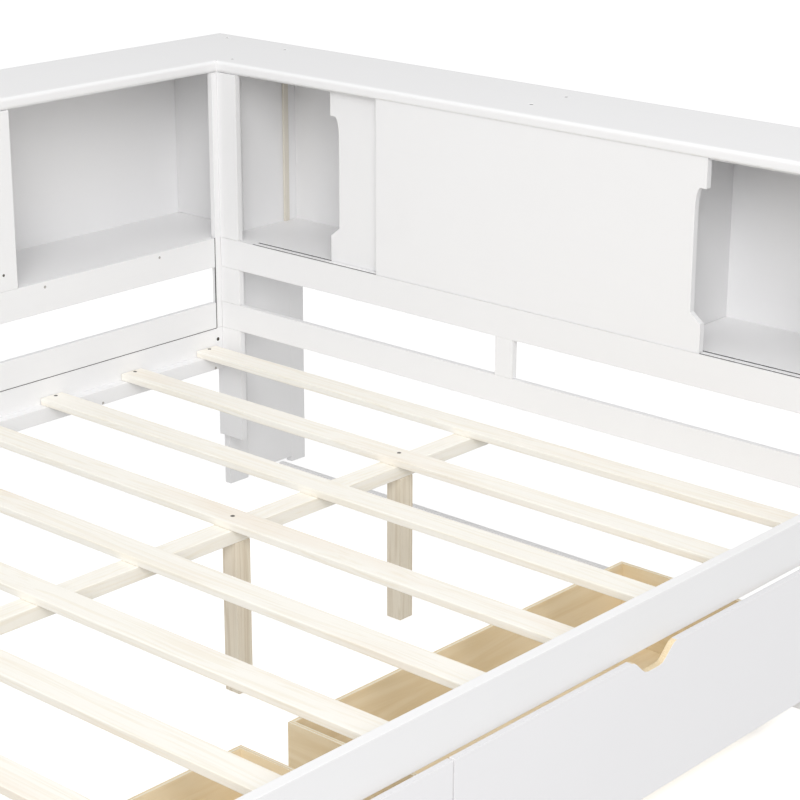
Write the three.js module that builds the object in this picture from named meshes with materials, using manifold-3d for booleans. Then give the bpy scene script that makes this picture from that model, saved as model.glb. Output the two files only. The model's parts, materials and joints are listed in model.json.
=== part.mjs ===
// A slatted double bed that stands in the corner of two low bookcases: the head bookcase along
// one end, with two sliding doors, and the side bookcase along one side, open at the front.
// Two drawers roll out from under the other long side.
//
// Millimetres, +Z up. Inside the "corner" group the origin is the inner corner of the bed at
// floor level: X = 0 is the front face of the head bookcase, Y = 0 is the front face of the side
// bookcase, and the bed itself fills negative X and negative Y. The group is then shifted so
// that the whole object stands with the middle of its base at the origin.

import * as THREE from 'three';
import { mergeVertices } from 'three/addons/utils/BufferGeometryUtils.js';
import Module from 'manifold-3d';

// ---------------------------------------------------------------- driving dimensions

const innerLength = 1916; // a 1905 mm mattress with room for the bedding
const innerWidth = 1385; // a 1372 mm mattress with room for the bedding
const caseDepth = 227; // depth of both bookcases
const boardThickness = 15; // bookcase panels and dividers
const frameThickness = 12; // the bookcases' front rails, posts and stiles
const lapDepth = frameThickness / 2; // half-lap between a rail and the post behind it
const lapGap = 0.25; // clearance around a half-lap

const railBottom = 258;
const railTop = 334;
const lowRailTop = 386;
const shelfRailBottom = 457;
const shelfTop = 515;
const caseTop = 836; // underside of the top boards
const overallHeight = 858;
const topEdgeRadius = 7;

const sideRailThickness = 20;
const frontRailThickness = 18;
const footRailThickness = 20;
const cleatDepth = 20;
const cleatTop = 287;

const slatTop = 300;
const slatCount = 10;
const slatWidth = 51;
const slatThickness = 13;
const slatPitch = 194;
const firstSlatX = -47;
const slatEndGap = 1;

const beamBack = -659;
const beamFront = -700;
const beamBottom = 263;
const supportLegSize = 31;
const slatsOverLegs = [2, 4, 7, 9];

const postWidth = 50;
const postFoot = 108; // the head bookcase's front posts stop this far above the floor
const stileWidth = 40;
const legWidth = 51;
const backLegWidth = 40;
const backPanelThickness = 6;
const backPanelInset = 12;
const shelfThickness = 15;
const dividerSpacing = 313.5;
const panelFoot = 12; // the corner end panel clears the floor by this much
const partitionWidth = 50;
const partitionFromCorner = 522;
const stretcherX = 150;
const stretcherHeight = 9;
const stretcherThickness = 12;
const frontLegWidth = 82;
const headLegGap = 3;
const sideCornerPanelX = 82;
const cornerStileWidth = 13;
const cornerGap = 3; // between the corner stile and the ends of the side bookcase's rails

const doorWidth = 713;
const doorThickness = 12;
const doorClearance = 0.5;
const frontDoorOffset = 50.5; // where the doors stand, from the middle of the case
const rearDoorOffset = 76.5;
const doorPitch = 16; // distance between the front and the rear door's tracks
const doorInset = 2;
const tongueThickness = 3;
const grooveWidth = 5;
const lowerGrooveDepth = 5;
const upperGrooveDepth = 8;
const grooveStop = 85; // the grooves stop this far from each end of the case
const fingerDepth = 21;
const fingerStep = 12;
const lugFoot = 565;
const lugHead = 788;
const lugHeadCurve = 40;
const lugFootCurve = 15;

const drawerSeam = 3;
const drawerFrontWidth = 868;
const drawerFrontOverlay = 18; // how far the drawer fronts stand out from the front rail
const drawerFrontThickness = 10;
const drawerFrontFoot = 32;
const drawerFrontTop = 260;
const drawerBoxInset = 44;
const drawerBoxBack = -1077;
const drawerBoxFoot = 32;
const drawerBoxTop = 180;
const drawerWall = 8;
const drawerBottomLift = 6;
const drawerBottomThickness = 6;
const notchTopWidth = 110;
const notchFootWidth = 28;
const notchDepth = 26;

// Screws through the head bookcase's top board, as places across and along it.
const topScrews = [[37, -6], [178, -6], [197, 175], [78, -700], [172, -703], [37, -1416], [178, -1416]];
const screwHeadRadius = 5.5;
const screwShankRadius = 2.5;
const screwSinkDepth = 4;

const arcSteps = 6;
const screwSides = 16;

// ---------------------------------------------------------------- places worked out from them

const footX = -innerLength;
const footPanelX = footX - footRailThickness;
const frontY = -innerWidth - frontRailThickness;
const drawerY = frontY - drawerFrontOverlay; // outer face of the drawer fronts
const drawerBoxFront = drawerY + drawerFrontThickness;
const outerY = -1424; // the head bookcase's free end
const middleY = outerY / 2;
const middleX = footX / 2;
const slatBottom = slatTop - slatThickness;
const panelFaceBack = caseDepth - backPanelInset; // back face of both back panels
const backPanelFront = panelFaceBack - backPanelThickness;
const sideRailsEnd = -cornerStileWidth - cornerGap;
const slatX = (number) => firstSlatX - (number - 1) * slatPitch;

// ---------------------------------------------------------------- finishes

const finish = (color, roughness) => new THREE.MeshStandardMaterial({ color, roughness, metalness: 0 });
const whitePaint = finish(0xebe9ea, 0.45);
const drawerPaint = finish(0xeeedee, 0.45);
const rawPine = finish(0xece4cd, 0.7);
const rawHardwood = finish(0xcfc5b0, 0.75);
const rawPlywood = finish(0xd8c08c, 0.75);

// ---------------------------------------------------------------- building blocks

const corner = new THREE.Group();
corner.name = 'corner';

function place(name, geometry, material) {
  const mesh = new THREE.Mesh(geometry, material);
  mesh.name = name;
  corner.add(mesh);
  return mesh;
}

// A box between two values on each axis, as bare geometry.
function block([x0, x1], [y0, y1], [z0, z1]) {
  const geometry = new THREE.BoxGeometry(x1 - x0, y1 - y0, z1 - z0);
  return geometry.translate((x0 + x1) / 2, (y0 + y1) / 2, (z0 + z1) / 2);
}

// A named board between two values on each axis.
function board(name, material, xs, ys, zs) {
  return place(name, block(xs, ys, zs), material);
}

// A closed outline drawn in one plane and extruded square to it. Axis is the extrusion's.
const outlineAxes = {
  x: [new THREE.Vector3(0, 1, 0), new THREE.Vector3(0, 0, 1)],
  y: [new THREE.Vector3(0, 0, 1), new THREE.Vector3(1, 0, 0)],
  z: [new THREE.Vector3(1, 0, 0), new THREE.Vector3(0, 1, 0)],
};

function prism(axis, points, from, to) {
  const shape = new THREE.Shape(points.map(([u, v]) => new THREE.Vector2(u, v)));
  const geometry = new THREE.ExtrudeGeometry(shape, { depth: to - from, bevelEnabled: false });
  const [uAxis, vAxis] = outlineAxes[axis];
  const wAxis = new THREE.Vector3().crossVectors(uAxis, vAxis);
  geometry.translate(0, 0, from);
  return geometry.applyMatrix4(new THREE.Matrix4().makeBasis(uAxis, vAxis, wAxis));
}

const wasm = await Module();
wasm.setup();

function toSolid(geometry) {
  const bare = geometry.clone();
  bare.deleteAttribute('normal');
  bare.deleteAttribute('uv');
  const merged = mergeVertices(bare);
  return new wasm.Manifold(new wasm.Mesh({
    numProp: 3,
    vertProperties: new Float32Array(merged.attributes.position.array),
    triVerts: new Uint32Array(merged.index.array),
  }));
}

function toGeometry(solid) {
  const { vertProperties, triVerts } = solid.getMesh();
  const geometry = new THREE.BufferGeometry();
  geometry.setAttribute('position', new THREE.BufferAttribute(vertProperties, 3));
  geometry.setIndex(new THREE.BufferAttribute(triVerts, 1));
  geometry.computeVertexNormals();
  return geometry;
}

function cut(geometry, ...cutters) {
  const rest = cutters.reduce((solid, cutter) => solid.subtract(toSolid(cutter)), toSolid(geometry));
  return toGeometry(rest);
}

function join(geometry, ...others) {
  const whole = others.reduce((solid, other) => solid.add(toSolid(other)), toSolid(geometry));
  return toGeometry(whole);
}

// ---------------------------------------------------------------- bed base

function bedRails() {
  const railZ = [railBottom, railTop];
  board('side_rail', whitePaint, [footPanelX + boardThickness, 0], [0, sideRailThickness], railZ);
  board('front_rail', whitePaint, [footX, 0], [frontY, -innerWidth], railZ);
  board('foot_rail', whitePaint, [footPanelX, footX], [frontY, 0], railZ);
}

function cleats() {
  const cleatZ = [railBottom, cleatTop];
  board('back_slat_cleat', whitePaint, [footX, 0], [-cleatDepth, 0], cleatZ);
  board('front_slat_cleat', whitePaint, [footX, 0], [-innerWidth, -innerWidth + cleatDepth], cleatZ);
}

function slats() {
  for (let number = 1; number <= slatCount; number += 1) {
    const name = `slat_${String(number).padStart(2, '0')}`;
    const x = slatX(number);
    const ys = [-innerWidth + slatEndGap, -slatEndGap];
    board(name, rawPine, [x - slatWidth / 2, x + slatWidth / 2], ys, [slatBottom, slatTop]);
  }
}

function centreBeam() {
  const xs = [slatX(slatCount) - slatWidth / 2, slatX(1) + slatWidth / 2];
  board('centre_beam', rawPine, xs, [beamFront, beamBack], [beamBottom, slatBottom]);
  slatsOverLegs.forEach((number, index) => {
    const x = slatX(number);
    const legX = [x - supportLegSize / 2, x + supportLegSize / 2];
    const legY = [beamFront, beamFront + supportLegSize];
    board(`support_leg_${index + 1}`, rawHardwood, legX, legY, [0, beamBottom]);
  });
}

function frontLegs() {
  const legY = [frontY, -innerWidth];
  const legZ = [0, railBottom];
  board('head_leg', whitePaint, [-headLegGap - frontLegWidth, -headLegGap], legY, legZ);
  board('foot_leg', whitePaint, [footX, footX + frontLegWidth], legY, legZ);
}

// ---------------------------------------------------------------- head bookcase

// The half-laps where the head bookcase's two rails cross a post, as cutters for the post.
function lapCutters(ys) {
  const xs = [-1, lapDepth + lapGap];
  return [[railTop, lowRailTop], [shelfRailBottom, shelfTop]].map(([z0, z1]) => (
    block(xs, ys, [z0 - lapGap, z1 + lapGap])
  ));
}

function headPosts() {
  const postZ = [postFoot, caseTop];
  const postX = [0, frameThickness];
  const cornerY = [-postWidth, boardThickness];
  const outerPostY = [outerY, outerY + postWidth];
  const cornerPost = cut(block(postX, cornerY, postZ), ...lapCutters([-postWidth - 1, lapGap]));
  place('corner_post', cornerPost, whitePaint);
  const outerLaps = lapCutters([outerY - 1, outerY + postWidth + 1]);
  place('head_outer_post', cut(block(postX, outerPostY, postZ), ...outerLaps), whitePaint);
}

// A rail of the head bookcase: full thickness between the posts, half thickness over them.
function headRail(name, zs, ...extraCutters) {
  const behindLap = [lapDepth - lapGap, frameThickness + 1];
  const overCorner = block(behindLap, [-postWidth - lapGap, 1], [zs[0] - 1, zs[1] + 1]);
  const overOuter = block(behindLap, [outerY - 1, outerY + postWidth + lapGap], [zs[0] - 1, zs[1] + 1]);
  const rail = block([0, frameThickness], [outerY, 0], zs);
  place(name, cut(rail, overCorner, overOuter, ...extraCutters), whitePaint);
}

// The doors' tracks are narrow grooves with closed ends, cut in the shelf and the top board.
function doorGroove(track, zs) {
  const front = doorInset - 1 + track * doorPitch;
  return block([front, front + grooveWidth], [outerY + grooveStop, -grooveStop], zs);
}

function headShelf() {
  const grooveZ = [shelfTop - lowerGrooveDepth, shelfTop + 1];
  headRail('head_low_rail', [railTop, lowRailTop]);
  headRail('head_shelf_rail', [shelfRailBottom, shelfTop], doorGroove(0, grooveZ));
  const shelfY = [outerY + boardThickness, 0];
  const shelf = block([frameThickness, backPanelFront], shelfY, [shelfTop - shelfThickness, shelfTop]);
  place('head_shelf', cut(shelf, doorGroove(1, grooveZ)), whitePaint);
  const stileY = [middleY - stileWidth / 2, middleY + stileWidth / 2];
  board('head_centre_stile', whitePaint, [0, frameThickness], stileY, [lowRailTop, shelfRailBottom]);
}

// The corner end of the head bookcase is a framed panel: two legs down to the floor and a
// thin board between them. It also closes the side bookcase.
function cornerEnd() {
  const panelY = [0, boardThickness];
  const frontLegX = [frameThickness, frameThickness + legWidth];
  const backLegX = [caseDepth - backLegWidth, caseDepth];
  board('corner_front_leg', whitePaint, frontLegX, panelY, [0, caseTop]);
  board('corner_back_leg', whitePaint, backLegX, panelY, [0, caseTop]);
  board('corner_end_panel', whitePaint, [frontLegX[1], backLegX[0]], panelY, [panelFoot, caseTop]);
}

function headCase() {
  board('head_end_panel', whitePaint, [frameThickness, caseDepth], [outerY, outerY + boardThickness],
    [0, caseTop]);
  const dividerX = [doorInset + 2 * doorPitch - 2, backPanelFront];
  const dividerZ = [shelfTop, caseTop];
  const [inner, outer] = [middleY + dividerSpacing, middleY - dividerSpacing];
  const dividers = { inner, centre: middleY, outer };
  for (const [position, y] of Object.entries(dividers)) {
    const ys = [y - boardThickness / 2, y + boardThickness / 2];
    board(`head_divider_${position}`, whitePaint, dividerX, ys, dividerZ);
  }
  board('head_back_panel', whitePaint, [backPanelFront, panelFaceBack],
    [outerY + boardThickness, 0], [shelfTop - shelfThickness, caseTop]);
  board('floor_stretcher', whitePaint, [stretcherX, stretcherX + stretcherThickness],
    [outerY + boardThickness, 0], [0, stretcherHeight]);
}

// ---------------------------------------------------------------- sliding doors

// One finger recess: a lug stays at the top and the bottom of the edge. Points run upwards, as
// distance in from the edge and height.
function fingerRecess() {
  const points = [[-1, lugFoot], [2, lugFoot], [fingerDepth, lugFoot + lugFootCurve]];
  for (let step = 0; step <= arcSteps; step += 1) {
    const turn = (Math.PI / 2) * (step / arcSteps);
    const inward = fingerStep + (fingerDepth - fingerStep) * Math.cos(turn);
    points.push([inward, lugHead - lugHeadCurve * (1 - Math.sin(turn))]);
  }
  points.push([-1, lugHead]);
  return points;
}

// A door slides along Y in its track; its tongues run in the grooves below and above it.
// Side is +1 where the finger recess is in the +Y edge and -1 where it is in the -Y edge.
function slidingDoor(name, track, middle, side) {
  const faceX = doorInset + track * doorPitch;
  const ys = [middle - doorWidth / 2, middle + doorWidth / 2];
  const panelZ = [shelfTop + doorClearance, caseTop - doorClearance];
  const tongueZ = [shelfTop - lowerGrooveDepth + 1, caseTop + upperGrooveDepth - 2];
  const panel = block([faceX, faceX + doorThickness], ys, panelZ);
  const tongue = block([faceX, faceX + tongueThickness], ys, tongueZ);
  const edge = side > 0 ? ys[1] : ys[0];
  const outline = fingerRecess().map(([inward, z]) => [edge - side * inward, z]);
  const recess = prism('x', outline, faceX - 1, faceX + doorThickness + 1);
  place(name, cut(join(panel, tongue), recess), whitePaint);
}

function doors() {
  slidingDoor('sliding_door_front', 0, middleY - frontDoorOffset, -1);
  slidingDoor('sliding_door_rear', 1, middleY + rearDoorOffset, 1);
}

// ---------------------------------------------------------------- side bookcase

function sideFrame() {
  const frontYs = [0, frameThickness];
  const railX = [footPanelX + boardThickness, sideRailsEnd];
  board('side_low_rail', whitePaint, railX, frontYs, [railTop, lowRailTop]);
  board('side_shelf_rail', whitePaint, railX, frontYs, [shelfRailBottom, shelfTop]);
  board('corner_stile', whitePaint, [-cornerStileWidth, 0], frontYs, [railTop, caseTop]);
}

function sideCase() {
  const panelX = [sideCornerPanelX, sideCornerPanelX + boardThickness];
  const bayY = [boardThickness, backPanelFront];
  const shelfX = [footPanelX + boardThickness, sideRailsEnd];
  const shelfZ = [shelfTop - shelfThickness, shelfTop];
  const shelf = join(
    block(shelfX, [frameThickness, backPanelFront], shelfZ),
    block([sideRailsEnd - 1, panelX[1]], [boardThickness, backPanelFront], shelfZ),
  );
  place('side_shelf', shelf, whitePaint);
  board('side_corner_panel', whitePaint, panelX, bayY, [shelfTop, caseTop]);
  board('side_foot_panel', whitePaint, [footPanelX, footPanelX + boardThickness], [0, caseDepth],
    [0, caseTop]);
  board('side_back_panel', whitePaint, [footPanelX + boardThickness, panelX[1]],
    [backPanelFront, panelFaceBack], [shelfTop - shelfThickness, caseTop]);
}

// A partition is a wide front stile with a board behind it, glued up as one T-shaped piece.
function partitions() {
  const middles = [-partitionFromCorner, footX + partitionFromCorner];
  middles.forEach((x, index) => {
    const stile = partitionWidth / 2;
    const web = boardThickness / 2;
    const outline = [
      [x - stile, 0], [x + stile, 0], [x + stile, frameThickness], [x + web, frameThickness],
      [x + web, backPanelFront], [x - web, backPanelFront], [x - web, frameThickness],
      [x - stile, frameThickness],
    ];
    place(`side_partition_${index + 1}`, prism('z', outline, shelfTop, caseTop), whitePaint);
  });
}

// ---------------------------------------------------------------- top boards

// The outline of a top board across its length: the front edge is rounded above and below.
// Points are depth from the front edge and height.
function topOutline() {
  const radius = topEdgeRadius;
  const points = [[caseDepth, caseTop], [caseDepth, overallHeight]];
  for (let step = 0; step <= arcSteps; step += 1) {
    const turn = (Math.PI / 2) * (step / arcSteps);
    points.push([radius - radius * Math.sin(turn), overallHeight - radius + radius * Math.cos(turn)]);
  }
  for (let step = 0; step <= arcSteps; step += 1) {
    const turn = (Math.PI / 2) * (step / arcSteps);
    points.push([radius - radius * Math.cos(turn), caseTop + radius - radius * Math.sin(turn)]);
  }
  return points;
}

// The countersunk seat of one screw, as a cutter that stands a little proud of the board.
function screwSeat([x, y]) {
  const proud = 1;
  const widening = (screwHeadRadius - screwShankRadius) * (proud / screwSinkDepth);
  const height = screwSinkDepth + proud;
  const seat = new THREE.CylinderGeometry(screwHeadRadius + widening, screwShankRadius, height, screwSides);
  seat.rotateX(Math.PI / 2);
  return seat.translate(x, y, overallHeight + proud - height / 2);
}

// The head bookcase's top board runs on into the corner, where the side one butts against it.
function topBoards() {
  const sideOutline = topOutline();
  place('side_top_board', prism('x', sideOutline, footPanelX, 0), whitePaint);
  const headOutline = topOutline().map(([depth, z]) => [z, depth]);
  const grooveZ = [caseTop - 1, caseTop + upperGrooveDepth];
  const squareEnd = block([0, caseDepth], [0, caseDepth], [caseTop, overallHeight]);
  const headBoard = join(prism('y', headOutline, outerY, 0), squareEnd);
  const cutters = [doorGroove(0, grooveZ), doorGroove(1, grooveZ), ...topScrews.map(screwSeat)];
  place('head_top_board', cut(headBoard, ...cutters), whitePaint);
}

// ---------------------------------------------------------------- drawers

// A drawer's front, with the finger notch in the middle of its top edge.
function drawerFront(name, middle) {
  const top = notchTopWidth / 2;
  const foot = notchFootWidth / 2;
  const notchZ = drawerFrontTop - notchDepth;
  const notchSide = (towards) => {
    const points = [];
    for (let step = 0; step <= arcSteps; step += 1) {
      const along = step / arcSteps;
      const rise = (1 - Math.cos(Math.PI * along)) / 2;
      points.push([middle + towards * (foot + (top - foot) * along), notchZ + notchDepth * rise]);
    }
    return points;
  };
  const half = drawerFrontWidth / 2;
  const outline = [
    [middle - half, drawerFrontFoot],
    [middle + half, drawerFrontFoot],
    [middle + half, drawerFrontTop],
    ...notchSide(1).reverse(),
    ...notchSide(-1),
    [middle - half, drawerFrontTop],
  ];
  const upright = outline.map(([x, z]) => [z, x]);
  place(`${name}_front`, prism('y', upright, drawerY, drawerBoxFront), drawerPaint);
}

function drawer(name, middle) {
  drawerFront(name, middle);
  const half = drawerFrontWidth / 2 - drawerBoxInset;
  const [left, right] = [middle - half, middle + half];
  const boxZ = [drawerBoxFoot, drawerBoxTop];
  const between = [left + drawerWall, right - drawerWall];
  const bottomZ = drawerBoxFoot + drawerBottomLift;
  const wallY = [drawerBoxFront, drawerBoxBack];
  board(`${name}_side_foot`, rawPlywood, [left, left + drawerWall], wallY, boxZ);
  board(`${name}_side_head`, rawPlywood, [right - drawerWall, right], wallY, boxZ);
  board(`${name}_back`, rawPlywood, between, [drawerBoxBack - drawerWall, drawerBoxBack], boxZ);
  board(`${name}_bottom`, rawPlywood, between, [drawerBoxFront, drawerBoxBack - drawerWall],
    [bottomZ, bottomZ + drawerBottomThickness]);
}

function drawers() {
  const apart = (drawerFrontWidth + drawerSeam) / 2;
  drawer('drawer_head', middleX + apart);
  drawer('drawer_foot', middleX - apart);
}

// ---------------------------------------------------------------- the whole object

bedRails();
cleats();
slats();
centreBeam();
frontLegs();
headPosts();
headShelf();
cornerEnd();
headCase();
doors();
sideFrame();
sideCase();
partitions();
topBoards();
drawers();

corner.position.set(-(footPanelX + caseDepth) / 2, -(outerY + caseDepth) / 2, 0);

const group = new THREE.Group();
group.name = 'corner_bed';
group.add(corner);

export default group;
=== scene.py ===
import json
import math
import random

import bmesh
import bpy
from mathutils import Matrix, Vector


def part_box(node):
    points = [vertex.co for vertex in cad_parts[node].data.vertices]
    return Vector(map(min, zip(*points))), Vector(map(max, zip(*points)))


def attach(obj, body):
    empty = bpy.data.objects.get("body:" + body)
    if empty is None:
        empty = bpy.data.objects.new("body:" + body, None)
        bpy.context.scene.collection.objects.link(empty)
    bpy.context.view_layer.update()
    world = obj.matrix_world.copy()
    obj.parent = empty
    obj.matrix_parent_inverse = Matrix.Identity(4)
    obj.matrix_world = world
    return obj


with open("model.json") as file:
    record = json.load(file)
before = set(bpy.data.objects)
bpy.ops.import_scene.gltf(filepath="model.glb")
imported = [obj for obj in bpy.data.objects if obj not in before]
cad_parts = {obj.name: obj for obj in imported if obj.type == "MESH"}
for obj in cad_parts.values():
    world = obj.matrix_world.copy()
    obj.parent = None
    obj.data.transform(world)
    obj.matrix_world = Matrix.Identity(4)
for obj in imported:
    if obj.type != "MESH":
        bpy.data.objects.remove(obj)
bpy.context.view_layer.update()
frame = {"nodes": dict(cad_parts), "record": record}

# A white painted corner bed: slats between two bookcases, one of them with sliding doors, and two
# drawers on casters. Metres, in the CAD frame. The corner is where the two bookcases' front faces
# meet on the floor; the bed lies towards -X and -Y of it.

MM = 0.001
SLATS = [f"slat_{number:02d}" for number in range(1, 11)]
DRAWERS = {"drawer_head": "head_drawer", "drawer_foot": "foot_drawer"}
corner = Vector((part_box("corner_post")[0].x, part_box("side_rail")[0].y, 0))


def from_corner(x, y, z):
    """A place given in millimetres from the corner."""
    return corner + Vector((x, y, z)) * MM


# ---------------------------------------------------------------- camera


def look(place, yaw, pitch, roll, lens, shift):
    """Stands the camera at place, turned yaw from +X towards +Y and pitched down, in degrees."""
    yaw, pitch, roll = (math.radians(angle) for angle in (yaw, pitch, roll))
    ahead = Vector((math.cos(yaw) * math.cos(pitch), math.sin(yaw) * math.cos(pitch), -math.sin(pitch)))
    level = Vector((math.sin(yaw), -math.cos(yaw), 0))
    rise = level.cross(ahead)
    right = level * math.cos(roll) + rise * math.sin(roll)
    up = rise * math.cos(roll) - level * math.sin(roll)
    data = bpy.data.cameras.new("camera")
    data.lens = lens
    data.shift_x = shift
    data.clip_end = 60
    camera = bpy.data.objects.new("camera", data)
    bpy.context.scene.collection.objects.link(camera)
    turn = Matrix((right, up, -ahead)).transposed().to_4x4()
    camera.matrix_world = Matrix.Translation(place) @ turn
    bpy.context.scene.camera = camera


look(from_corner(-2903.7, -3070.6, 1604.7), yaw=41.216, pitch=18.66, roll=0.344, lens=100.61, shift=-0.03)


# ---------------------------------------------------------------- material building


class Shader:
    """A node material under construction. Its methods add nodes and return an output socket."""

    def __init__(self, name):
        self.material = bpy.data.materials.new(name)
        self.material.use_nodes = True
        self.tree = self.material.node_tree
        self.surface = self.tree.nodes["Principled BSDF"]
        texture_place = self.add("ShaderNodeTexCoord")
        self.place = texture_place.outputs["Object"]
        self.facing = texture_place.outputs["Normal"]

    def add(self, kind, **settings):
        node = self.tree.nodes.new(kind)
        for key, value in settings.items():
            setattr(node, key, value)
        return node

    def feed(self, socket, value):
        if isinstance(value, bpy.types.NodeSocket):
            self.tree.links.new(value, socket)
        else:
            socket.default_value = value

    def coords(self, scale, offset=(0, 0, 0)):
        node = self.add("ShaderNodeMapping")
        self.feed(node.inputs["Vector"], self.place)
        node.inputs["Scale"].default_value = scale
        node.inputs["Location"].default_value = offset
        return node.outputs["Vector"]

    def noise(self, place, scale=1.0, detail=4.0, roughness=0.55, distortion=0.0):
        node = self.add("ShaderNodeTexNoise")
        self.feed(node.inputs["Vector"], place)
        node.inputs["Scale"].default_value = scale
        node.inputs["Detail"].default_value = detail
        node.inputs["Roughness"].default_value = roughness
        node.inputs["Distortion"].default_value = distortion
        return node.outputs["Fac"]

    def cells(self, place, scale=1.0):
        node = self.add("ShaderNodeTexVoronoi")
        self.feed(node.inputs["Vector"], place)
        node.inputs["Scale"].default_value = scale
        return node.outputs["Distance"]

    def math(self, operation, a, b=0.0):
        node = self.add("ShaderNodeMath", operation=operation)
        self.feed(node.inputs[0], a)
        self.feed(node.inputs[1], b)
        return node.outputs[0]

    def between(self, value, low, high):
        """0 below low and 1 above high, smooth in between. Low may be the larger one."""
        node = self.add("ShaderNodeMapRange", interpolation_type="SMOOTHSTEP", clamp=True)
        self.feed(node.inputs["Value"], value)
        node.inputs["From Min"].default_value = low
        node.inputs["From Max"].default_value = high
        return node.outputs["Result"]

    def span(self, value, low, high):
        """Stretches a 0 to 1 value to run from low to high."""
        node = self.add("ShaderNodeMapRange", clamp=True)
        self.feed(node.inputs["Value"], value)
        node.inputs["To Min"].default_value = low
        node.inputs["To Max"].default_value = high
        return node.outputs["Result"]

    def mix(self, factor, a, b):
        """Colour a where the factor is 0, and b where it is 1."""
        node = self.add("ShaderNodeMix", data_type="RGBA")
        self.feed(node.inputs[0], factor)
        for socket, colour in ((node.inputs[6], a), (node.inputs[7], b)):
            self.feed(socket, colour if isinstance(colour, bpy.types.NodeSocket) else (*colour, 1))
        return node.outputs[2]

    def product(self, *factors):
        total = factors[0]
        for factor in factors[1:]:
            total = self.math("MULTIPLY", total, factor)
        return total

    def axis(self, vector, letter):
        node = self.add("ShaderNodeSeparateXYZ")
        self.feed(node.inputs[0], vector)
        return node.outputs[letter]

    def edges(self, radius):
        """1 on the object's sharp edges, falling to 0 a few millimetres in."""
        rounded = self.add("ShaderNodeBevel", samples=4)
        rounded.inputs["Radius"].default_value = radius
        facing = self.add("ShaderNodeNewGeometry").outputs["Normal"]
        dot = self.add("ShaderNodeVectorMath", operation="DOT_PRODUCT")
        self.feed(dot.inputs[0], rounded.outputs[0])
        self.feed(dot.inputs[1], facing)
        return self.between(dot.outputs["Value"], 0.995, 0.8)

    def bump(self, height, distance, normal=None):
        node = self.add("ShaderNodeBump")
        self.feed(node.inputs["Height"], height)
        node.inputs["Distance"].default_value = distance
        node.inputs["Strength"].default_value = 1.0
        if normal is not None:
            self.feed(node.inputs["Normal"], normal)
        return node.outputs["Normal"]

    def finish(self, colour, roughness, normal, specular=0.5, metallic=0.0):
        self.feed(self.surface.inputs["Base Color"], colour)
        self.feed(self.surface.inputs["Roughness"], roughness)
        self.feed(self.surface.inputs["Normal"], normal)
        self.surface.inputs["Specular IOR Level"].default_value = specular
        self.surface.inputs["Metallic"].default_value = metallic
        return self.material


def stretched(grain, along, across):
    """Texture scales that draw a pattern out along the grain's axis."""
    return tuple(along if letter == grain else across for letter in "XYZ")


def seeded_offset(seed):
    """A place in the texture of a board's own, so that no two boards look alike."""
    draw = random.Random(seed)
    return tuple(draw.uniform(-40, 40) for _ in range(3))


# ---------------------------------------------------------------- materials

WHITE = (0.885, 0.883, 0.888)
DRAWER_WHITE = (0.885, 0.88, 0.892)

# Inner panels that stand in shade, painted greyer as painted shade, and how bright each is beside the
# others.
SHADED_PANEL_TONE = {
    "side_corner_panel": 0.86,
    "head_divider_inner": 0.84,
    "head_divider_centre": 0.84,
    "head_divider_outer": 0.84,
}
GROOVED = ("head_shelf", "head_shelf_rail")
PINE = {"light": (0.925, 0.9, 0.835), "dark": (0.84, 0.775, 0.64), "contrast": 0.65, "knots": False}
BATTEN = {"light": (0.76, 0.72, 0.64), "dark": (0.6, 0.54, 0.44), "contrast": 0.8}
GREY_WOOD = {"light": (0.82, 0.75, 0.625), "dark": (0.66, 0.57, 0.44), "contrast": 1.0, "knots": False}
BLUSH = (0.8, 0.66, 0.52)
PLY_LIGHT = (0.94, 0.82, 0.61)
PLY_DARK = (0.87, 0.73, 0.5)
PLY_PALE_EDGE = (0.93, 0.88, 0.74)
GLUE = (0.62, 0.48, 0.32)
PLY_THICKNESS = 2.4 * MM
RAW_BOARD_LIGHT = (0.9, 0.78, 0.55)
RAW_BOARD_DARK = (0.74, 0.58, 0.36)


def shade(colour, factors):
    return [channel * factor for channel, factor in zip(colour, factors)]


def paint_coats(shader, grain, seed, tone):
    """Satin paint rolled on smooth boards: faint grain underneath, thin on the arrises."""
    offset = seeded_offset(seed)
    clouds = shader.noise(shader.coords((3, 3, 3), offset), detail=2)
    fibres = shader.noise(shader.coords(stretched(grain, 5, 140), offset), detail=5, roughness=0.6)
    roller = shader.noise(shader.coords((520, 520, 520), offset), detail=2)
    specks = shader.noise(shader.coords((95, 95, 95), offset), detail=1)
    thin = shade(tone, (0.96, 0.958, 0.957))
    worn = shade(tone, (0.9, 0.875, 0.83))
    colour = shader.mix(shader.span(clouds, 0.0, 0.55), tone, thin)
    colour = shader.mix(shader.product(shader.between(fibres, 0.55, 0.8), 0.3), colour, thin)
    rubbed = shader.product(shader.edges(2.2 * MM), shader.between(specks, 0.42, 0.66), 0.7)
    colour = shader.mix(rubbed, colour, worn)
    gloss = shader.math("ADD", shader.span(clouds, 0.36, 0.44), shader.span(roller, 0, 0.1))
    normal = shader.bump(roller, 0.03 * MM)
    return colour, gloss, shader.bump(fibres, 0.05 * MM, normal)


def white_paint(node, seed):
    shader = Shader(f"{node}_paint")
    # Panels in the shaded-panel table get a darker tone: painted shade.
    tone = [channel * SHADED_PANEL_TONE.get(node, 1) for channel in WHITE]
    colour, gloss, normal = paint_coats(shader, long_axis(node), seed, tone)
    return shader.finish(colour, gloss, normal, specular=0.4)


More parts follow.
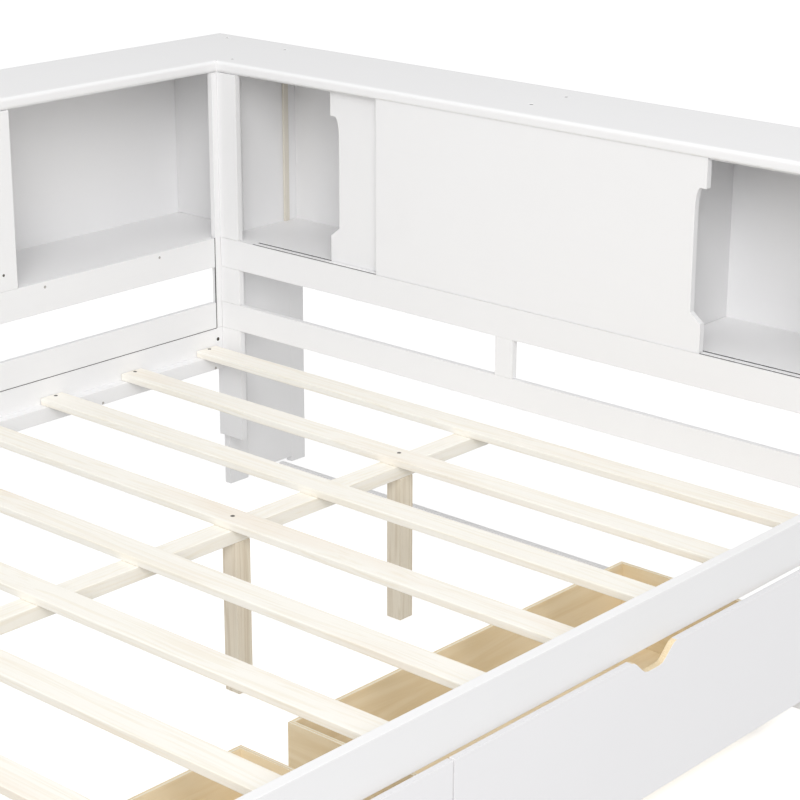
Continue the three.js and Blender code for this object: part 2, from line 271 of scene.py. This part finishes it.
def grooved_paint(node, seed):
    """White paint with the walls and bottoms of the sliding doors' grooves painted near-black as painted
    shade.
    """
    shader = Shader(f"{node}_paint")
    colour, gloss, normal = paint_coats(shader, "Y", seed, WHITE)
    low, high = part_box(node)
    skin = 0.6 * MM
    deepest = 8 * MM
    across = shader.axis(shader.place, "X")
    height = shader.axis(shader.place, "Z")
    inside = shader.product(
        shader.math("GREATER_THAN", across, low.x + skin),
        shader.math("LESS_THAN", across, high.x - skin),
    )
    sunk = shader.product(
        shader.math("LESS_THAN", height, high.z - skin),
        shader.math("GREATER_THAN", height, high.z - deepest),
    )
    # The near-black inside the grooves is painted shade, mottled a little lighter.
    groove_mottle = shader.noise(shader.coords((700, 90, 700)), detail=4)
    groove_shade = shader.mix(shader.between(groove_mottle, 0.5, 0.8), (0.09, 0.09, 0.095), (0.3, 0.3, 0.3))
    colour = shader.mix(shader.product(inside, sunk), colour, groove_shade)
    return shader.finish(colour, gloss, normal, specular=0.4)


def raw_wood(name, grain, seed, light, dark, contrast, knots=True):
    """Unfinished sawn wood: growth rings drawn out along the grain, pores, saw marks and knots."""
    shader = Shader(name)
    offset = seeded_offset(seed)
    drift = shader.noise(shader.coords(stretched(grain, 1.3, 9), offset), detail=2, distortion=0.4)
    warped = shader.add("ShaderNodeVectorMath", operation="ADD")
    shader.feed(warped.inputs[0], shader.coords(stretched(grain, 0.02, 1)))
    shader.feed(warped.inputs[1], shader.product(drift, 0.055))
    rings = shader.noise(warped.outputs[0], scale=190, detail=2, roughness=0.45)
    pores = shader.noise(shader.coords(stretched(grain, 22, 900), offset), detail=3)
    saw = shader.noise(shader.coords(stretched(grain, 320, 14), offset), detail=1)
    patches = shader.noise(shader.coords(stretched(grain, 2.2, 14), offset), detail=2)
    streaks = shader.between(rings, 0.44, 0.68)
    colour = shader.mix(shader.product(streaks, 0.62 * contrast), light, dark)
    colour = shader.mix(shader.product(shader.between(patches, 0.5, 0.78), 0.3), colour, BLUSH)
    pore_depth = shader.between(pores, 0.62, 0.8)
    colour = shader.mix(shader.product(pore_depth, 0.3 * contrast), colour, dark)
    if knots:
        spots = shader.cells(shader.coords(stretched(grain, 2.1, 7.5), offset))
        knot = shader.between(spots, 0.12, 0.04)
        brown = [channel * 0.42 for channel in dark]
        colour = shader.mix(shader.product(knot, 0.75), colour, brown)
    rubbed = shader.product(shader.edges(2.5 * MM), 0.35)
    colour = shader.mix(rubbed, colour, [min(1, channel * 1.08) for channel in light])
    roughness = shader.span(patches, 0.62, 0.8)
    normal = shader.bump(streaks, 0.12 * MM)
    normal = shader.bump(pore_depth, -0.08 * MM, normal)
    normal = shader.bump(saw, 0.06 * MM, normal)
    return shader.finish(colour, roughness, normal, specular=0.25)


def plywood(name, grain, thickness, seed):
    """Unfinished plywood: grained faces, and glued plies on the edges."""
    shader = Shader(name)
    offset = seeded_offset(seed)
    figure = shader.noise(shader.coords(stretched(grain, 2.4, 30), offset), detail=5, distortion=1.2)
    fibres = shader.noise(shader.coords(stretched(grain, 14, 520), offset), detail=3)
    face = shader.mix(shader.between(figure, 0.38, 0.66), PLY_LIGHT, PLY_DARK)
    face = shader.mix(shader.product(shader.between(fibres, 0.58, 0.75), 0.4), face, PLY_DARK)
    depth = shader.product(shader.axis(shader.place, thickness), 1 / PLY_THICKNESS)
    ply = shader.math("FRACT", depth)
    dark_ply = shader.math("GREATER_THAN", shader.math("FRACT", shader.product(depth, 0.5)), 0.5)
    edge = shader.mix(dark_ply, PLY_PALE_EDGE, PLY_DARK)
    glue_line = shader.math("SUBTRACT", 1, shader.between(ply, 0.04, 0.16))
    edge = shader.mix(shader.product(glue_line, 0.7), edge, GLUE)
    square_on = shader.math("ABSOLUTE", shader.axis(shader.facing, thickness))
    on_face = shader.math("GREATER_THAN", square_on, 0.6)
    colour = shader.mix(on_face, edge, face)
    normal = shader.bump(fibres, 0.08 * MM)
    normal = shader.bump(figure, 0.1 * MM, normal)
    return shader.finish(colour, shader.span(figure, 0.6, 0.78), normal, specular=0.25)


def drawer_front_paint(node, seed):
    """White paint all over, darker on the upward top edge as painted shade, except the sawn edge of the
    finger notch, which is raw board.
    """
    shader = Shader(f"{node}_paint")
    painted, gloss, normal = paint_coats(shader, "X", seed, DRAWER_WHITE)
    chips = shader.noise(shader.coords((700, 1100, 900)), detail=4)
    raw = shader.mix(shader.between(chips, 0.3, 0.7), RAW_BOARD_LIGHT, RAW_BOARD_DARK)
    low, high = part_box(node)
    half_notch = 54 * MM
    notch_depth = 28 * MM
    edge_on = shader.between(shader.math("ABSOLUTE", shader.axis(shader.facing, "Y")), 0.75, 0.55)
    from_middle = shader.math("SUBTRACT", shader.axis(shader.place, "X"), (low.x + high.x) / 2)
    near = shader.math("LESS_THAN", shader.math("ABSOLUTE", from_middle), half_notch)
    above = shader.math("GREATER_THAN", shader.axis(shader.place, "Z"), high.z - notch_depth)
    notch = shader.product(near, above, edge_on)
    # The top edge is painted darker: painted shade, so that it reads no brighter than the face.
    top_edge_shade = shader.between(shader.axis(shader.facing, "Z"), 0.5, 0.9)
    painted = shader.mix(top_edge_shade, painted, [channel * 0.84 for channel in DRAWER_WHITE])
    return shader.finish(shader.mix(notch, painted, raw), gloss, normal, specular=0.4)


def screw_steel():
    """Dark plated steel with turning marks and a dull bloom."""
    shader = Shader("screw_steel")
    tarnish = shader.noise(shader.coords((260, 260, 260)), detail=4)
    scratches = shader.noise(shader.coords((1800, 1800, 600)), detail=3)
    colour = shader.mix(shader.between(tarnish, 0.35, 0.7), (0.2, 0.19, 0.18), (0.09, 0.085, 0.08))
    normal = shader.bump(scratches, 0.02 * MM)
    return shader.finish(colour, shader.span(tarnish, 0.28, 0.5), normal, metallic=1.0)


def dusty(name, deep, dust_colour):
    """The shaded inside of a drilled hole or of a seam, with a little sawdust in it."""
    shader = Shader(name)
    dust = shader.noise(shader.coords((900, 900, 900)), detail=3)
    colour = shader.mix(shader.between(dust, 0.45, 0.75), deep, dust_colour)
    return shader.finish(colour, shader.span(dust, 0.7, 0.95), shader.bump(dust, 0.2 * MM))


def caster_plastic():
    """Black moulded plastic, scuffed where it rolls."""
    shader = Shader("caster_plastic")
    grain = shader.noise(shader.coords((850, 850, 850)), detail=2)
    scuffs = shader.noise(shader.coords((120, 420, 120)), detail=4)
    colour = shader.mix(shader.between(scuffs, 0.52, 0.75), (0.022, 0.022, 0.024), (0.09, 0.088, 0.085))
    return shader.finish(colour, shader.span(scuffs, 0.42, 0.65), shader.bump(grain, 0.05 * MM))


def long_axis(node):
    """The letter of the axis a board is longest along, which is where its grain runs."""
    low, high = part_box(node)
    size = high - low
    return "XYZ"[max(range(3), key=lambda index: size[index])]


def thin_axis(node):
    low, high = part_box(node)
    size = high - low
    return "XYZ"[min(range(3), key=lambda index: size[index])]


def material_for(node, slot, seed):
    if node.startswith("drawer") and node.endswith("front"):
        return drawer_front_paint(node, seed)
    if node in GROOVED:
        return grooved_paint(node, seed)
    if slot == "white_paint":
        return white_paint(node, seed)
    if slot == "raw_pine":
        return raw_wood(f"{node}_pine", long_axis(node), seed, **PINE)
    if slot == "raw_hardwood":
        return raw_wood(f"{node}_wood", long_axis(node), seed, **GREY_WOOD)
    return plywood(f"{node}_plywood", long_axis(node), thin_axis(node), seed)


# ---------------------------------------------------------------- CAD boards


def soften(node, radius):
    """Joins the faces of a CAD board and rounds its arrises a little."""
    weld = node.modifiers.new("weld", "WELD")
    weld.merge_threshold = 0.01 * MM
    bevel = node.modifiers.new("arris", "BEVEL")
    bevel.width = radius
    bevel.segments = 2
    bevel.limit_method = "ANGLE"
    bevel.angle_limit = math.radians(50)
    bevel.harden_normals = True


def dress_boards():
    slots = {row["node"]: row["material_slot"] for row in frame["record"]["subparts"]}
    radii = {"raw_pine": 1.8, "raw_hardwood": 1.2, "raw_plywood": 0.6, "white_paint": 1.1}
    for seed, (name, node) in enumerate(sorted(frame["nodes"].items())):
        material = material_for(name, slots[name], seed)
        node.data.materials.clear()
        node.data.materials.append(material)
        soften(node, radii[slots[name]] * MM)


dress_boards()


# ---------------------------------------------------------------- small pieces


def piece(name, shape, material, body):
    """Makes a mesh object of a bmesh, and rides it on a body."""
    mesh = bpy.data.meshes.new(name)
    shape.to_mesh(mesh)
    shape.free()
    mesh.materials.append(material)
    thing = bpy.data.objects.new(name, mesh)
    bpy.context.scene.collection.objects.link(thing)
    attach(thing, body)
    return thing


def spin(shape, profile, matrix, sides):
    """Adds a turned solid: profile is radius and height pairs that start and end on the axis."""
    rings = []
    for radius, height in profile:
        if radius == 0:
            rings.append([shape.verts.new(matrix @ Vector((0, 0, height)))])
            continue
        turns = (2 * math.pi * side / sides for side in range(sides))
        rings.append([
            shape.verts.new(matrix @ Vector((radius * math.cos(turn), radius * math.sin(turn), height)))
            for turn in turns
        ])
    for below, above in zip(rings, rings[1:]):
        for side in range(sides):
            after = (side + 1) % sides
            if len(below) == 1:
                loop = (below[0], above[after], above[side])
            elif len(above) == 1:
                loop = (below[side], below[after], above[0])
            else:
                loop = (below[side], below[after], above[after], above[side])
            face = shape.faces.new(loop)
            face.smooth = True


def cross_screw(shape, matrix, radius, turn):
    """A domed screw head with a cross recess, standing on the matrix's XY plane."""
    dome = 0.28 * radius
    underside = -0.1 * radius
    profile = [(0, underside), (radius * 0.96, underside), (radius, dome * 0.25)]
    steps = 5
    for step in range(1, steps + 1):
        share = step / steps
        height = dome * (0.25 + 0.75 * math.sin(share * math.pi / 2))
        profile.append((radius * (1 - 0.86 * share), height))
    profile.append((0, dome))
    before = len(shape.verts)
    spin(shape, profile, Matrix.Identity(4), sides=32)
    shape.verts.ensure_lookup_table()
    arm, reach, sunk = 0.17 * radius, 0.62 * radius, 0.42 * radius
    for vertex in list(shape.verts)[before:]:
        across, along = sorted((abs(vertex.co.x), abs(vertex.co.y)))
        if vertex.co.z > 0.2 * dome and across < arm and along < reach:
            vertex.co.z -= sunk
    turned = matrix @ Matrix.Rotation(turn, 4, "Z")
    for vertex in list(shape.verts)[before:]:
        vertex.co = turned @ vertex.co


STEEL = screw_steel()
HOLE = dusty("drilled_hole", (0.035, 0.03, 0.028), (0.2, 0.16, 0.12))
FILLER = dusty("hole_filler", (0.42, 0.4, 0.38), (0.6, 0.58, 0.55))
# Near-black painted shadow for the strips along the open seams.
GAP_SHADOW = dusty("painted_gap_shadow", (0.05, 0.05, 0.052), (0.16, 0.155, 0.15))
PLASTIC = caster_plastic()


def slat_screws():
    """One screw near each end of every slat, and one over the beam above each support leg."""
    draw = random.Random(5)
    shape = bmesh.new()
    beam_low, beam_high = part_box("centre_beam")
    beam_middle = (beam_low.y + beam_high.y) / 2
    legs = [sum(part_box(f"support_leg_{number}"), Vector()).x / 2 for number in range(1, 5)]
    for name in SLATS:
        low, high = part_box(name)
        middle = (low.x + high.x) / 2
        rows = [high.y - 9 * MM, low.y + 9 * MM]
        if any(abs(middle - leg) < 5 * MM for leg in legs):
            rows.append(beam_middle)
        for row in rows:
            aside = draw.uniform(-4, 4) * MM
            seat = Matrix.Translation((middle + aside, row, high.z))
            cross_screw(shape, seat, 3.6 * MM, draw.uniform(0, math.pi))
    piece("slat_screws", shape, STEEL, "bed_frame")


def top_board_screws():
    """Screws sunk in the seats of the head bookcase's top board."""
    shape = bmesh.new()
    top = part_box("head_top_board")[1].z
    places = ((37, -6), (178, -6), (197, 175), (78, -700), (172, -703), (37, -1416), (178, -1416))
    for number, (x, y) in enumerate(places):
        seat = from_corner(x, y, 0)
        seat.z = top - 1.5 * MM
        cross_screw(shape, Matrix.Translation(seat), 4.3 * MM, number * 0.7)
    piece("top_board_screws", shape, STEEL, "bed_frame")


def hole(shape, place, normal, radius):
    """A drilled hole: a dark dished disc with a thin raised rim of torn fibres round it."""
    turn = Vector((0, 0, 1)).rotation_difference(normal).to_matrix().to_4x4()
    matrix = Matrix.Translation(place) @ turn
    disc, rim, root = 0.06 * MM, 0.15 * MM, -0.3 * MM
    profile = [(0, disc), (radius * 0.9, disc), (radius, rim), (radius * 1.08, 0), (0, root)]
    spin(shape, profile, matrix, sides=20)


def fixing_holes():
    """Fixing holes that the boards show: two left open, the others filled and only just seen."""
    inward = Vector((0, -1, 0))
    side_shelf_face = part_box("side_shelf_rail")[0].y
    cleat_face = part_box("back_slat_cleat")[0].y
    rail_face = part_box("side_rail")[0].y
    open_holes = ((-527, side_shelf_face, 545, 2.4), (-13, rail_face, 311, 3.4))
    filled_holes = (
        (-436, side_shelf_face, 505, 2.6),
        (-159, side_shelf_face, 505, 2.4),
        (-40, cleat_face, 262, 2.6),
        (-329, cleat_face, 262, 2.6),
    )
    groups = (("open_holes", HOLE, open_holes), ("filled_holes", FILLER, filled_holes))
    for name, material, places in groups:
        shape = bmesh.new()
        for x, face, z, radius in places:
            place = from_corner(x, 0, z)
            place.y = face
            hole(shape, place, inward, radius * MM)
        piece(name, shape, material, "bed_frame")


def gap_shadow_strips():
    """Dark strips laid on the faces along the open seams round the side bookcase's lower rail, where it
    stands on the bed's side rail: the painted shadow of the gaps.
    """
    shape = bmesh.new()
    low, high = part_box("side_low_rail")
    rail_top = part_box("side_rail")[1].z
    shelf_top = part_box("side_shelf_rail")[1].z
    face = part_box("side_rail")[0].y
    gap = (high.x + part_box("corner_stile")[0].x) / 2
    slab(shape, Vector(((low.x + high.x) / 2, face, rail_top)), (high.x - low.x, 0.5 * MM, 1.2 * MM))
    slab(shape, Vector((gap, face + 1.5 * MM, (rail_top + shelf_top) / 2)),
         (2.4 * MM, 0.6 * MM, shelf_top - rail_top))
    piece("gap_shadow_strips", shape, GAP_SHADOW, "bed_frame")


def corner_batten():
    """A raw strip that stands against the corner end panel, inside the head bookcase."""
    shape = bmesh.new()
    low = from_corner(173, -5, 0)
    high = from_corner(187, -0.3, 0)
    low.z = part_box("head_shelf")[1].z + 0.3 * MM
    high.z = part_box("head_top_board")[0].z - 0.3 * MM
    size = high - low
    matrix = Matrix.Translation((low + high) / 2) @ Matrix.Diagonal((*size, 1))
    bmesh.ops.create_cube(shape, size=1, matrix=matrix)
    upright = [edge for edge in shape.edges if abs(edge.verts[0].co.z - edge.verts[1].co.z) > 0.1]
    bmesh.ops.bevel(shape, geom=upright, offset=1.2 * MM, segments=3, affect="EDGES")
    material = raw_wood("corner_batten_pine", "Z", 77, **BATTEN)
    piece("corner_batten", shape, material, "bed_frame")


def casters():
    """Four fixed casters under each drawer: a wheel between two cheeks on a screwed plate."""
    from_side, from_end = 55 * MM, 35 * MM
    for drawer, body in DRAWERS.items():
        low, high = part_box(f"{drawer}_bottom")
        xs = (low.x + from_side, high.x - from_side)
        ys = (low.y + from_end, high.y - from_end)
        places = [(x, y) for x in xs for y in ys]
        for number, (x, y) in enumerate(places, 1):
            caster(f"{drawer}_caster_{number}", body, x, y, low.z)


def caster(name, body, x, y, plate_top):
    """One caster that stands on the floor at x and y, and reaches up to plate_top."""
    radius, half = 14 * MM, 5.5 * MM
    plate_thickness, cheek_thickness, below_axle = 1.6 * MM, 1.4 * MM, 5 * MM
    axle = Vector((x, y, radius))
    # Half of the wheel's section, as shares of its radius and half width: hub, web, rim and tread.
    section = ((0, 0.8), (0.28, 0.8), (0.3, 0.55), (0.78, 0.55), (0.82, 1), (0.94, 1), (1, 0.7))
    profile = [(out * radius, -up * half) for out, up in section]
    profile += [(out * radius, up * half) for out, up in reversed(section)]
    wheel = bmesh.new()
    sideways = Matrix.Translation(axle) @ Matrix.Rotation(math.pi / 2, 4, "Y")
    spin(wheel, profile, sideways, sides=36)
    piece(f"{name}_wheel", wheel, PLASTIC, body)
    bracket = bmesh.new()
    plate_low = plate_top - plate_thickness
    plate_middle = Vector((x, y, plate_low + plate_thickness / 2))
    slab(bracket, plate_middle, (30 * MM, 34 * MM, plate_thickness))
    cheek_height = plate_low - radius + below_axle
    axle_end = [(0, 0), (2.6 * MM, 0), (2.2 * MM, 1.1 * MM), (0, 1.3 * MM)]
    for side in (-1, 1):
        middle = axle + Vector((side * (half + 1.5 * MM), 0, cheek_height / 2 - below_axle))
        slab(bracket, middle, (cheek_thickness, 13 * MM, cheek_height))
        outside = Matrix.Translation(axle + Vector((side * (half + 2.2 * MM), 0, 0)))
        spin(bracket, axle_end, outside @ Matrix.Rotation(side * math.pi / 2, 4, "Y"), sides=16)
    piece(f"{name}_bracket", bracket, STEEL, body)


def slab(shape, middle, size):
    """A small plate with rounded edges."""
    matrix = Matrix.Translation(middle) @ Matrix.Diagonal((*size, 1))
    made = bmesh.ops.create_cube(shape, size=1, matrix=matrix)
    edges = {edge for vertex in made["verts"] for edge in vertex.link_edges}
    bmesh.ops.bevel(shape, geom=list(edges), offset=min(size) * 0.25, segments=2, affect="EDGES")


slat_screws()
top_board_screws()
fixing_holes()
gap_shadow_strips()
corner_batten()
casters()


# ---------------------------------------------------------------- stage


def floor():
    mesh = bpy.data.meshes.new("floor")
    shape = bmesh.new()
    bmesh.ops.create_grid(shape, x_segments=1, y_segments=1, size=30)
    shape.to_mesh(mesh)
    shape.free()
    thing = bpy.data.objects.new("floor", mesh)
    thing.location.z = -0.5 * MM
    bpy.context.scene.collection.objects.link(thing)
    shader = Shader("floor")
    soft = shader.noise(shader.coords((1.2, 1.2, 1.2)), detail=2)
    colour = shader.mix(soft, (0.93, 0.93, 0.93), (0.95, 0.95, 0.95))
    mesh.materials.append(shader.finish(colour, 0.9, shader.bump(soft, 0.01 * MM)))
    shader.surface.inputs["Emission Color"].default_value = (1, 1, 1, 1)
    shader.surface.inputs["Emission Strength"].default_value = 0.45
    thing.visible_diffuse = False


def area_light(name, place, target, size, power):
    data = bpy.data.lights.new(name, "AREA")
    data.shape = "DISK"
    data.size = size
    data.energy = power
    thing = bpy.data.objects.new(name, data)
    thing.location = place
    thing.rotation_mode = "QUATERNION"
    thing.rotation_quaternion = (Vector(target) - Vector(place)).to_track_quat("-Z", "Y")
    bpy.context.scene.collection.objects.link(thing)


def studio():
    world = bpy.data.worlds.new("studio")
    world.use_nodes = True
    nodes, links = world.node_tree.nodes, world.node_tree.links
    direction = nodes.new("ShaderNodeTexCoord")
    height = nodes.new("ShaderNodeSeparateXYZ")
    links.new(direction.outputs["Generated"], height.inputs[0])
    strength = nodes.new("ShaderNodeMapRange")
    links.new(height.outputs["Z"], strength.inputs["Value"])
    strength.inputs["From Min"].default_value = -0.15
    strength.inputs["From Max"].default_value = 0.05
    strength.inputs["To Min"].default_value = 0.57
    strength.inputs["To Max"].default_value = 0.6
    background = nodes["Background"]
    background.inputs["Color"].default_value = (1, 1, 1, 1)
    links.new(strength.outputs["Result"], background.inputs["Strength"])
    bpy.context.scene.world = world
    bpy.context.scene.view_settings.view_transform = "Standard"
    area_light("front", (-4.8, -4.9, 4.4), (0, 0, 0.5), 5.0, 385)
    area_light("overhead", (-0.5, -0.5, 6.2), (0, 0, 0.5), 5.0, 66)


floor()
studio()
